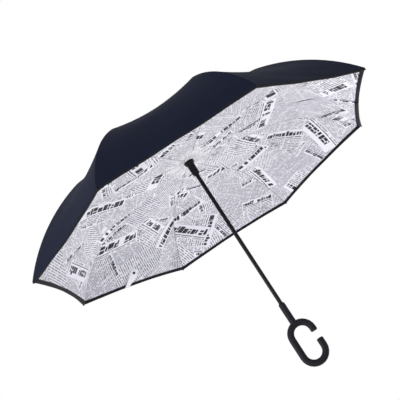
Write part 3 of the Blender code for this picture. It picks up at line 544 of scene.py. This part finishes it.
def make_wedges(kind, canopy, bands, material, visible_side):
    """All pieces of one canopy. Where two bodies meet, the arm's cloth runs on behind the rib's."""
    border = canopy.length_at(beside_rib(bands["rib"][0]))
    for body, stations in bands.items():
        for number, (low, high) in enumerate(zip(stations, stations[1:]), start=1):
            end = beside_rib(high) if high else RIM_RADIUS * math.cos(HALF_SECTOR)
            rows = max(int(round((end - beside_rib(low)) / ROW_STEP)), 1) + 1

            def place(across):
                return distances(canopy, across, low, high, rows)

            def lift(distance):
                behind = 0.0 if body == "rib" else smooth_step((distance - border) / TUCK_RAMP)
                return -visible_side * TUCK * behind + 0 * distance

            for rib in range(1, RIB_COUNT + 1):
                points, normals, plans, from_rib = wedge_grid(canopy, rib, place, lift)
                wanted = width_kept(body, rib, points)
                keep = RIM_KEEP if high is None else min(float(wanted.max()), 1.0)
                if keep == 1:
                    points = widen_at_hub(points, rib, wanted)
                name = f"{kind}_on_{body}_{rib}_{number}"
                mesh = sheet_mesh(name, points, normals, plans, CLOTH, from_rib)
                piece = add_piece(name, mesh, material)
                fold(piece, body, rib, keep)
                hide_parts(kind)


def make_centre(kind, canopy, body, material, visible_side):
    """The round patch of cloth that a hub clamps, which stays on the hub when the arms fold."""
    distance = np.linspace(0, canopy.length_at(PATCH_RADIUS), CENTRE_ROWS)
    across = np.linspace(-1, 1, CENTRE_COLUMNS + 1)[:-1]
    lift = -visible_side * TUCK
    columns = []
    for gore in range(1, RIB_COUNT + 1):
        v, s = np.meshgrid(across, distance)
        points, normals = canopy.points(gore, v, s, lift), grid_normals(canopy, gore, v, s, lift)
        columns.append((points, normals, print_place(canopy, gore, v, s), rib_distance(canopy, v, s)))
    points, normals, plan, from_rib = (np.concatenate(column, axis=1) for column in zip(*columns))
    name = f"{kind}_centre"
    mesh = sheet_mesh(name, points, normals, (plan, plan), CLOTH, from_rib, closed=True)
    piece = add_piece(name, mesh, material)
    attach(piece, body)
    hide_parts(kind)


def make_hems(material):
    """The dark edging that closes the gap between the two canopies round the rim."""
    width = HEM_WIDTH - HEM_TURN
    steps = np.array([-HEM_UNDER, *(share * width for share in HEM_SHARES)])[:, None]

    def on_inner(across):
        return INNER.total + steps + 0 * across

    def on_outer(across):
        return OUTER.total + 0 * across[None]

    for rib in range(1, RIB_COUNT + 1):
        tape, _, plans, _ = wedge_grid(INNER, rib, on_inner, lambda distance: -HEM_CLOTH)
        edge = wedge_grid(OUTER, rib, on_outer, lambda distance: 0.0)[0]
        turn = 0.5 * (tape[-1:] + edge) + HEM_BULGE * (tape[-1:] - tape[-2:-1])
        points = np.concatenate([tape, turn, edge])
        normals = unit(np.cross(np.gradient(points, axis=0), np.gradient(points, axis=1)))
        name = f"hem_{rib}"
        flat = [np.repeat(plan[:1], len(points), axis=0) for plan in plans]
        piece = add_piece(name, sheet_mesh(name, points, normals, flat, HEM_CLOTH), material)
        fold(piece, "rib", rib, RIM_KEEP)


def make_snap(place, outward, material):
    """A round press stud, set on the strap's outer side."""
    mesh = bpy.data.meshes.new("strap_snap")
    work = bmesh.new()
    turn = Vector(outward).to_track_quat("Z", "Y").to_matrix().to_4x4()
    for radius, top_radius, low, high in SNAP_STEPS:
        bmesh.ops.create_cone(
            work,
            cap_ends=True,
            segments=SNAP_SIDES,
            radius1=radius * SNAP_RADIUS,
            radius2=top_radius * SNAP_RADIUS,
            depth=(high - low) * MM,
            matrix=Matrix.Translation(place) @ turn @ Matrix.Translation((0, 0, (low + high) / 2 * MM)),
        )
    work.to_mesh(mesh)
    work.free()
    mesh.shade_smooth()
    mesh.set_sharp_from_angle(angle=math.radians(SNAP_SHARP))
    return add_piece("strap_snap", mesh, material)


def make_strap(material, snap_material):
    """The closing strap: sewn to the hem, lifted off the cloth, with a rounded end and a snap."""
    along = np.linspace(1, 0, STRAP_ROWS)[:, None]
    aside = np.linspace(-1, 1, STRAP_COLUMNS)[None]
    sewn_at = INNER.total + STRAP_SEWN * (HEM_WIDTH - HEM_TURN)
    distance = sewn_at - along * STRAP_LENGTH + 0 * aside
    half_chord = INNER.spot(distance)[..., 0] * math.sin(HALF_SECTOR)
    rounding = np.clip(1 - (1 - along) * STRAP_LENGTH / (STRAP_WIDTH / 2), 0, STRAP_ROUNDED)
    half_width = STRAP_WIDTH / 2 * np.sqrt(1 - rounding**2)
    lean = STRAP_LEAN * along**STRAP_LEAN_POWER
    across = 1 - 2 * STRAP_PLACE + (aside * half_width - lean) / half_chord
    lift = -STRAP_GAP - STRAP_LIFT * np.sin(STRAP_ARCH * along)
    lift = lift + STRAP_TWIST * aside * smooth_step(STRAP_TWIST_REACH * along)
    points = INNER.points(STRAP_RIB - 1, across, distance, lift)
    normals = unit(np.cross(np.gradient(points, axis=0), np.gradient(points, axis=1)))
    plan = np.stack([aside * half_width, distance], axis=-1)
    name = "closing_strap_tape"
    piece = add_piece(name, sheet_mesh(name, points, normals, (plan, plan), STRAP_CLOTH), material)
    up = normals[SNAP_AT]
    snap = make_snap(points[SNAP_AT] - up * STRAP_CLOTH / 2, -up, snap_material)
    for part, slot in ((piece, "inner_cloth"), (snap, "black_plastic")):
        fold(part, "rib", STRAP_RIB, RIM_KEEP)
    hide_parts("closing_strap")


# Materials


class Graph:
    """A short way to write a material's nodes."""

    def __init__(self, name):
        self.material = bpy.data.materials.new(name)
        self.material.use_nodes = True
        self.tree = self.material.node_tree
        self.shader = self.tree.nodes["Principled BSDF"]

    def put(self, socket, value):
        if isinstance(value, bpy.types.NodeSocket):
            self.tree.links.new(value, socket)
        else:
            socket.default_value = value

    def node(self, kind, inputs=(), **settings):
        made = self.tree.nodes.new("ShaderNode" + kind)
        for name, value in settings.items():
            setattr(made, name, value)
        for name, value in dict(inputs).items():
            self.put(made.inputs[name], value)
        return made

    def math(self, operation, *values, clamp=False):
        made = self.node("Math", operation=operation, use_clamp=clamp)
        for socket, value in zip(made.inputs, values):
            self.put(socket, value)
        return made.outputs[0]

    def vector(self, operation, *values):
        made = self.node("VectorMath", operation=operation)
        for socket, value in zip(made.inputs, values):
            self.put(socket, value)
        return made.outputs["Value" if operation == "LENGTH" else "Vector"]

    def parts(self, vector):
        return self.node("SeparateXYZ", {"Vector": vector}).outputs

    def join(self, x=0.0, y=0.0, z=0.0):
        return self.node("CombineXYZ", {"X": x, "Y": y, "Z": z}).outputs[0]

    def mix(self, share, first, second):
        made = self.node("Mix", data_type="RGBA")
        self.put(made.inputs["Factor"], share)
        for name, value in (("A", first), ("B", second)):
            socket = [s for s in made.inputs if s.name == name and s.type == "RGBA"][0]
            self.put(socket, value)
        return [s for s in made.outputs if s.type == "RGBA"][0]

    def mix_value(self, share, first, second):
        made = self.node("Mix", data_type="FLOAT")
        for name, value in (("Factor", share), ("A", first), ("B", second)):
            socket = [s for s in made.inputs if s.name == name and s.type == "VALUE"][0]
            self.put(socket, value)
        return made.outputs[0]

    def within(self, value, low, high, soft):
        """1 where a value lies between two limits, with soft edges."""
        rise = self.ramp(value, low - soft, low + soft)
        fall = self.ramp(value, high - soft, high + soft, 1.0, 0.0)
        return self.math("MULTIPLY", rise, fall)

    def ramp(self, value, start, end, low=0.0, high=1.0):
        """Runs evenly from one number to another while a value goes from start to end."""
        inputs = {"Value": value, "From Min": start, "From Max": end, "To Min": low, "To Max": high}
        return self.node("MapRange", inputs).outputs[0]

    def noise(self, vector, scale, detail):
        return self.node("TexNoise", {"Vector": vector, "Scale": scale, "Detail": detail}).outputs[0]

    def random(self, vector):
        return self.node("TexWhiteNoise", {"Vector": vector}, noise_dimensions="3D").outputs["Value"]

    def bump(self, height, distance, strength):
        return self.node("Bump", {"Height": height, "Distance": distance, "Strength": strength}).outputs[0]

    def finish(self, color, roughness, normal=None, **sockets):
        self.put(self.shader.inputs["Base Color"], color)
        self.put(self.shader.inputs["Roughness"], roughness)
        if normal is not None:
            self.put(self.shader.inputs["Normal"], normal)
        for name, value in sockets.items():
            self.put(self.shader.inputs[name.replace("_", " ")], value)
        return self.material


def weave(graph, place, pitch):
    """The height of a plain weave, from 0 to 1."""
    x, y = graph.parts(place)[:2]
    over = graph.math("SINE", graph.math("MULTIPLY", x, math.tau / pitch))
    under = graph.math("SINE", graph.math("MULTIPLY", y, math.tau / pitch))
    return graph.math("MULTIPLY_ADD", graph.math("MULTIPLY", over, under), 0.5, 0.5)


def seam(graph):
    """Along each rib, the sewn seam: its groove, where shade is painted, and the height of the doubled cloth
    beside it.
    """
    away = graph.node("Attribute", attribute_name="from_rib").outputs["Fac"]
    groove = graph.within(away, -1.0, 0.7 * MM, 0.25 * MM)
    doubled = graph.within(away, -1.0, 5 * MM, 0.6 * MM)
    return groove, graph.math("SUBTRACT", doubled, groove)


def gathers(graph):
    """The height of the radial creases round the runner, where the cloth is gathered, which also places their
    painted highlight.
    """
    x, y = graph.parts(graph.node("TexCoord").outputs["Object"])[:2]
    radius = graph.vector("LENGTH", graph.join(x, y))
    near = graph.ramp(radius, *GATHER_REACH)
    turn = graph.math("MULTIPLY", graph.math("ARCTAN2", y, x), 5.0)
    creases = graph.noise(graph.join(turn, graph.math("MULTIPLY", radius, 16.0)), 1.0, 2.0)
    return graph.math("MULTIPLY", near, creases)


class Scraps:
    """One layer of scraps, each turned its own way: the place in the scrap that covers a point."""

    def __init__(self, graph, place, size, shift, randomness):
        moved = graph.vector("ADD", place, (shift, 0.7 * shift, 0.0))
        inputs = {"Vector": moved, "Scale": 1 / size, "Randomness": randomness}
        cells = graph.node("TexVoronoi", inputs, voronoi_dimensions="2D")
        self.graph = graph
        self.numbers = graph.parts(cells.outputs["Color"])
        self.key = graph.math("MULTIPLY", self.numbers[2], 37.0)
        offset = graph.vector("SUBTRACT", moved, cells.outputs["Position"])
        turn = graph.math("MULTIPLY", self.numbers[0], math.tau)
        inputs = {"Vector": offset, "Angle": turn}
        local = graph.node("VectorRotate", inputs, rotation_type="Z_AXIS").outputs[0]
        self.x, self.y = graph.parts(local)[:2]

    def chance(self, share):
        """1 on a share of the scraps."""
        return self.graph.math("LESS_THAN", self.numbers[1], share)

    def in_box(self, middle, half):
        """1 inside a rectangle of the scrap."""
        graph = self.graph
        sides = [
            graph.math("LESS_THAN", graph.math("ABSOLUTE", graph.math("SUBTRACT", value, centre)), reach)
            for value, centre, reach in zip((self.x, self.y), middle, half)
        ]
        return graph.math("MULTIPLY", *sides)

    def text(self, pitch, column):
        """Columns of small text without letters: broken grey lines."""
        graph = self.graph
        line = graph.math("DIVIDE", self.y, pitch)
        in_line = graph.within(graph.math("FRACT", line), 0.20, 0.70, 0.12)
        row = graph.math("MULTIPLY", graph.math("FLOOR", line), 5.7)
        noise = graph.noise(graph.join(graph.math("MULTIPLY", self.x, 260.0), row, self.key), 1.0, 1.0)
        words = graph.ramp(noise, 0.38, 0.46)
        across = graph.math("FRACT", graph.math("ADD", graph.math("DIVIDE", self.x, column), self.key))
        columns = graph.within(across, 0.03, 0.97, 0.02)
        return graph.math("MULTIPLY", graph.math("MULTIPLY", in_line, words), columns)

    def bars(self, middle, height):
        """A headline without letters: leaning dark blocks of random widths and heights, some of them slit."""
        graph = self.graph
        rise = graph.math("SUBTRACT", self.y, middle)
        lean = graph.math("MULTIPLY", graph.math("SUBTRACT", self.numbers[1], 0.15), rise)
        place = graph.math("DIVIDE", graph.math("SUBTRACT", self.x, lean), HEADLINE_STRETCH * height)
        place = graph.math("MULTIPLY_ADD", graph.noise(graph.join(place, self.key), 0.9, 0.0), 1.6, place)
        block = graph.math("FLOOR", place)
        chance = [graph.random(graph.join(block, self.key, float(number))) for number in range(4)]
        there = graph.math("GREATER_THAN", chance[0], 0.17)
        half_width = graph.math("MULTIPLY_ADD", chance[1], 0.12, 0.34)
        beside = graph.math("ABSOLUTE", graph.math("SUBTRACT", graph.math("FRACT", place), 0.5))
        tall = graph.math("MULTIPLY", graph.math("GREATER_THAN", chance[2], 0.72), 0.22 * height)
        top = graph.math("LESS_THAN", rise, graph.math("ADD", tall, 0.22 * height))
        foot = graph.math("GREATER_THAN", rise, -0.40 * height)
        wide = graph.math("MULTIPLY", there, graph.math("LESS_THAN", beside, half_width))
        above = graph.math("SUBTRACT", rise, 0.1 * height)
        from_slit = graph.math("ABSOLUTE", graph.math("MULTIPLY_ADD", chance[3], 0.5 * height, above))
        whole = graph.math("GREATER_THAN", chance[1], 0.45)
        inked = graph.math("MAXIMUM", whole, graph.math("GREATER_THAN", from_slit, 0.05 * height))
        return graph.math("MULTIPLY", graph.math("MULTIPLY", wide, inked), graph.math("MULTIPLY", top, foot))


def pale_scrap(scraps, worn, ink):
    """The colour of a layer of scraps: paper, more or less yellowed to grey, and ink on it."""
    graph = scraps.graph
    paper = graph.mix(graph.math("MULTIPLY", scraps.numbers[2], worn), PAPER, OLD_PAPER)
    return graph.mix(ink, paper, INK)


def text_ground(graph, place, size, shift, pitch, darkness):
    """Scraps of plain text that cover the whole cloth."""
    scraps = Scraps(graph, place, size * MM, shift, 1.0)
    ink = graph.math("MULTIPLY", scraps.text(pitch * MM, TEXT_COLUMN * MM), darkness)
    return pale_scrap(scraps, 1.0, ink)


def clipping(graph, place, below, size, shift, half, head, pitch, share, picture):
    """Lays rectangular clippings over a colour: a headline, a rule, text under it and perhaps a picture."""
    scraps = Scraps(graph, place, size * MM, shift, CLIPPING_SCATTER)
    wide, tall = (side * MM for side in half)
    height = head * MM
    middle = tall - 0.72 * height
    text = graph.math("MULTIPLY", scraps.text(pitch * MM, 0.9 * wide), CLIPPING_TEXT_DARKNESS)
    text_box = scraps.in_box((0.0, -0.6 * height), (0.94 * wide, tall - 0.66 * height))
    ink = graph.math("MULTIPLY", text, text_box)
    head_box = scraps.in_box((0, 0), (0.92 * wide, tall))
    headline = graph.math("MULTIPLY", scraps.bars(middle, height), head_box)
    rule = scraps.in_box((0.0, middle - 0.62 * height), (0.92 * wide, 0.7 * MM))
    ink = graph.math("MAXIMUM", graph.math("MAXIMUM", ink, headline), rule)
    if picture:
        picture_box = scraps.in_box(*([side * MM for side in sides] for sides in picture))
        spot = graph.math("MULTIPLY", picture_box, graph.math("GREATER_THAN", scraps.numbers[0], 0.45))
        grey = graph.noise(graph.vector("ADD", place, (shift, 0.0, 0.0)), 130.0, 4.0)
        shades = graph.math("MULTIPLY_ADD", graph.ramp(grey, 0.36, 0.66), 0.75, 0.12)
        ink = graph.mix_value(spot, ink, shades)
    whole = scraps.in_box((0, 0), (wide, tall))
    edge = graph.math("SUBTRACT", whole, scraps.in_box((0, 0), (wide - MM, tall - MM)))
    ink = graph.math("MAXIMUM", ink, graph.math("MULTIPLY", edge, 0.3))
    cover = graph.math("MULTIPLY", whole, scraps.chance(share))
    return graph.mix(cover, below, pale_scrap(scraps, 0.6, ink))


def newsprint_material():
    """Pale cloth printed with overlapping clippings: ruled lines, columns and blocks, and no letters."""
    graph = Graph("inner_cloth_print")
    place = graph.node("UVMap", uv_map="plan").outputs[0]
    fine, coarse = (text_ground(graph, place, **layer) for layer in TEXTS)
    patches = Scraps(graph, place, COARSE_TEXT["size"] * MM, COARSE_TEXT["shift"], 1.0)
    color = graph.mix(patches.chance(COARSE_TEXT["share"]), fine, coarse)
    for layer in CLIPPINGS:
        color = clipping(graph, place, color, **layer)
    worn = graph.math("MULTIPLY_ADD", graph.noise(place, 55.0, 3.0), 0.25, -0.07, clamp=True)
    color = graph.mix(worn, color, WORN_PAPER)
    gathered = gathers(graph)
    # Painted highlight: the crests of the gathered creases round the runner are washed towards pale lit paper
    color = graph.mix(graph.ramp(gathered, 0.18, 0.42, 0.0, 0.85), color, PAINTED_CREASE_HIGHLIGHT)
    groove, doubled = seam(graph)
    # Painted shade: the seam's groove along each rib is darkened towards ink
    color = graph.mix(graph.math("MULTIPLY", groove, 0.8), color, INK)
    seams = graph.math("MULTIPLY", doubled, 0.5)
    creases = graph.math("MULTIPLY_ADD", graph.noise(place, 28.0, 3.0), 1.0, seams)
    creases = graph.math("MULTIPLY_ADD", gathered, 9.0, creases)
    height = graph.math("MULTIPLY_ADD", weave(graph, place, 0.9 * MM), 0.2, creases)
    return graph.finish(color, 0.78, graph.bump(height, 0.5 * MM, 0.5), Specular_IOR_Level=0.2)


def navy_material(name, color, lighter):
    """The outer canopy's plain weave, with the seams along its ribs and shade painted into their grooves."""
    graph = Graph(name)
    place = graph.node("UVMap", uv_map="plan").outputs[0]
    uneven = graph.noise(place, 9.0, 4.0)
    tone = graph.mix(uneven, (*color, 1), (*lighter, 1))
    height = graph.math("MULTIPLY_ADD", weave(graph, place, 0.8 * MM), 0.2, graph.noise(place, 30.0, 3.0))
    groove, doubled = seam(graph)
    # Painted shade: the seam's groove along each rib is darkened towards near-black navy
    tone = graph.mix(graph.math("MULTIPLY", groove, 0.6), tone, SEAM_SHADE_NAVY)
    height = graph.math("MULTIPLY_ADD", doubled, 0.6, height)
    rough = graph.math("MULTIPLY_ADD", uneven, 0.16, 0.62)
    return graph.finish(tone, rough, graph.bump(height, 0.4 * MM, 0.45), Specular_IOR_Level=0.02)


def tape_material(name, color, darker):
    """A plain woven tape."""
    graph = Graph(name)
    place = graph.node("UVMap", uv_map="plan").outputs[0]
    tone = graph.mix(graph.noise(place, 40.0, 3.0), (*color, 1), (*darker, 1))
    threads = graph.bump(weave(graph, place, 1.2 * MM), 0.2 * MM, 0.6)
    return graph.finish(tone, 0.8, threads, Specular_IOR_Level=0.2)


def moulded_material(name, color, lighter, roughness, grain, depth):
    """A moulded or lacquered surface: fine grain, and handling wear that lightens and polishes it."""
    graph = Graph(name)
    place = graph.node("TexCoord").outputs["Object"]
    wear = graph.noise(place, 55.0, 5.0)
    tone = graph.mix(wear, (*color, 1), (*lighter, 1))
    rough = graph.math("MULTIPLY_ADD", wear, 0.14, roughness - 0.07)
    fine = graph.noise(place, grain, 2.0)
    return graph.finish(tone, rough, graph.bump(fine, depth * MM, 0.2), Specular_IOR_Level=0.14)


def metal_material(name, color, roughness):
    """A drawn and plated metal, a little uneven."""
    graph = Graph(name)
    place = graph.node("TexCoord").outputs["Object"]
    drawn = graph.noise(place, 350.0, 3.0)
    tone = graph.mix(drawn, (*color, 1), (*(1.5 * c for c in color), 1))
    rough = graph.math("MULTIPLY_ADD", drawn, 0.18, roughness - 0.09)
    return graph.finish(tone, rough, graph.bump(drawn, 0.03 * MM, 0.3), Metallic=1.0)


def dress_nodes(materials):
    """Gives each CAD node the finish that its slot in the record asks for."""
    slots = {row["node"]: row["material_slot"] for row in frame["record"]["subparts"]}
    for node, piece in frame["nodes"].items():
        slot = slots[node]
        if not piece.data.materials:
            piece.data.materials.append(materials[slot])
        for socket in piece.material_slots:
            socket.material = materials[slot]


# Stage


def white_to_camera(tree):
    """A background's strength: white to the camera and in reflections, and a plain light otherwise."""
    path = tree.nodes.new("ShaderNodeLightPath")
    seen = path.outputs["Is Camera Ray"]
    for ray in ("Is Glossy Ray", "Is Transmission Ray"):
        either = tree.nodes.new("ShaderNodeMath")
        either.operation = "ADD"
        either.use_clamp = True
        tree.links.new(seen, either.inputs[0])
        tree.links.new(path.outputs[ray], either.inputs[1])
        seen = either.outputs[0]
    scale = tree.nodes.new("ShaderNodeMapRange")
    scale.inputs["To Min"].default_value = WORLD_LIGHT
    scale.inputs["To Max"].default_value = WHITE
    tree.links.new(seen, scale.inputs["Value"])
    return scale.outputs[0]


def make_world():
    world = bpy.data.worlds.new("studio")
    world.use_nodes = True
    tree = world.node_tree
    background = tree.nodes["Background"]
    background.inputs["Color"].default_value = (1, 1, 1, 1)
    tree.links.new(white_to_camera(tree), background.inputs["Strength"])
    bpy.context.scene.world = world


def clear_from_below(graph):
    """Lets the floor's underside through, so that the umbrella can be looked at from underneath."""
    output = graph.tree.nodes["Material Output"]
    side = graph.node("NewGeometry").outputs["Backfacing"]
    clear = graph.node("BsdfTransparent").outputs[0]
    both = graph.node("MixShader")
    graph.tree.links.new(side, both.inputs[0])
    graph.tree.links.new(graph.shader.outputs[0], both.inputs[1])
    graph.tree.links.new(clear, both.inputs[2])
    graph.tree.links.new(both.outputs[0], output.inputs["Surface"])


def make_floor():
    mesh = bpy.data.meshes.new("floor")
    turns = [math.tau * step / FLOOR_STEPS for step in range(FLOOR_STEPS)]
    corners = [(FLOOR_RADIUS * math.cos(turn), FLOOR_RADIUS * math.sin(turn), -FLOOR_DROP) for turn in turns]
    mesh.from_pydata(corners, [], [tuple(range(FLOOR_STEPS))])
    floor = bpy.data.objects.new("floor", mesh)
    bpy.context.scene.collection.objects.link(floor)
    graph = Graph("pale_floor")
    place = graph.node("TexCoord").outputs["Object"]
    mottled = graph.mix(graph.noise(place, 3.0, 3.0), (0.86, 0.86, 0.86, 1), (0.9, 0.9, 0.9, 1))
    graph.finish(mottled, 0.9)
    clear_from_below(graph)
    mesh.materials.append(graph.material)


def make_lamps():
    """Round soft lamps, all aimed at the middle of the rim."""
    for name, place, size, power in LAMPS:
        light = bpy.data.lights.new(name, "AREA")
        light.shape = "DISK"
        light.size = size
        light.energy = power
        lamp = bpy.data.objects.new(name, light)
        bpy.context.scene.collection.objects.link(lamp)
        lamp.location = place
        ahead = Vector((0.0, 0.0, RIM_HEIGHT)) - Vector(place)
        lamp.rotation_euler = ahead.to_track_quat("-Z", "Y").to_euler()


def make_camera():
    data = bpy.data.cameras.new("camera")
    data.lens = CAMERA_LENS
    data.sensor_width = SENSOR
    camera = bpy.data.objects.new("camera", data)
    camera.location = CAMERA_PLACE
    camera.rotation_euler = [math.radians(angle) for angle in CAMERA_TURN]
    bpy.context.scene.collection.objects.link(camera)
    bpy.context.scene.camera = camera


make_camera()
make_world()
make_floor()
make_lamps()
bpy.context.scene.view_settings.view_transform = "Standard"

FINISHES = {slot: moulded_material(*values) for slot, values in MOULDED.items()}
FINISHES["plated_steel"] = metal_material(*PLATED)
FINISHES["outer_cloth"] = navy_material(*NAVY)
FINISHES["inner_cloth"] = newsprint_material()
dress_nodes(FINISHES)
make_wedges("outer_canopy", OUTER, OUTER_BANDS, FINISHES["outer_cloth"], 1)
make_wedges("inner_canopy", INNER, INNER_BANDS, FINISHES["inner_cloth"], -1)
make_centre("outer_canopy", OUTER, "root", FINISHES["outer_cloth"], 1)
make_centre("inner_canopy", INNER, "runner", FINISHES["inner_cloth"], -1)
make_hems(tape_material(*HEM_TAPE))
make_strap(tape_material(*STRAP_TAPE), FINISHES["black_plastic"])
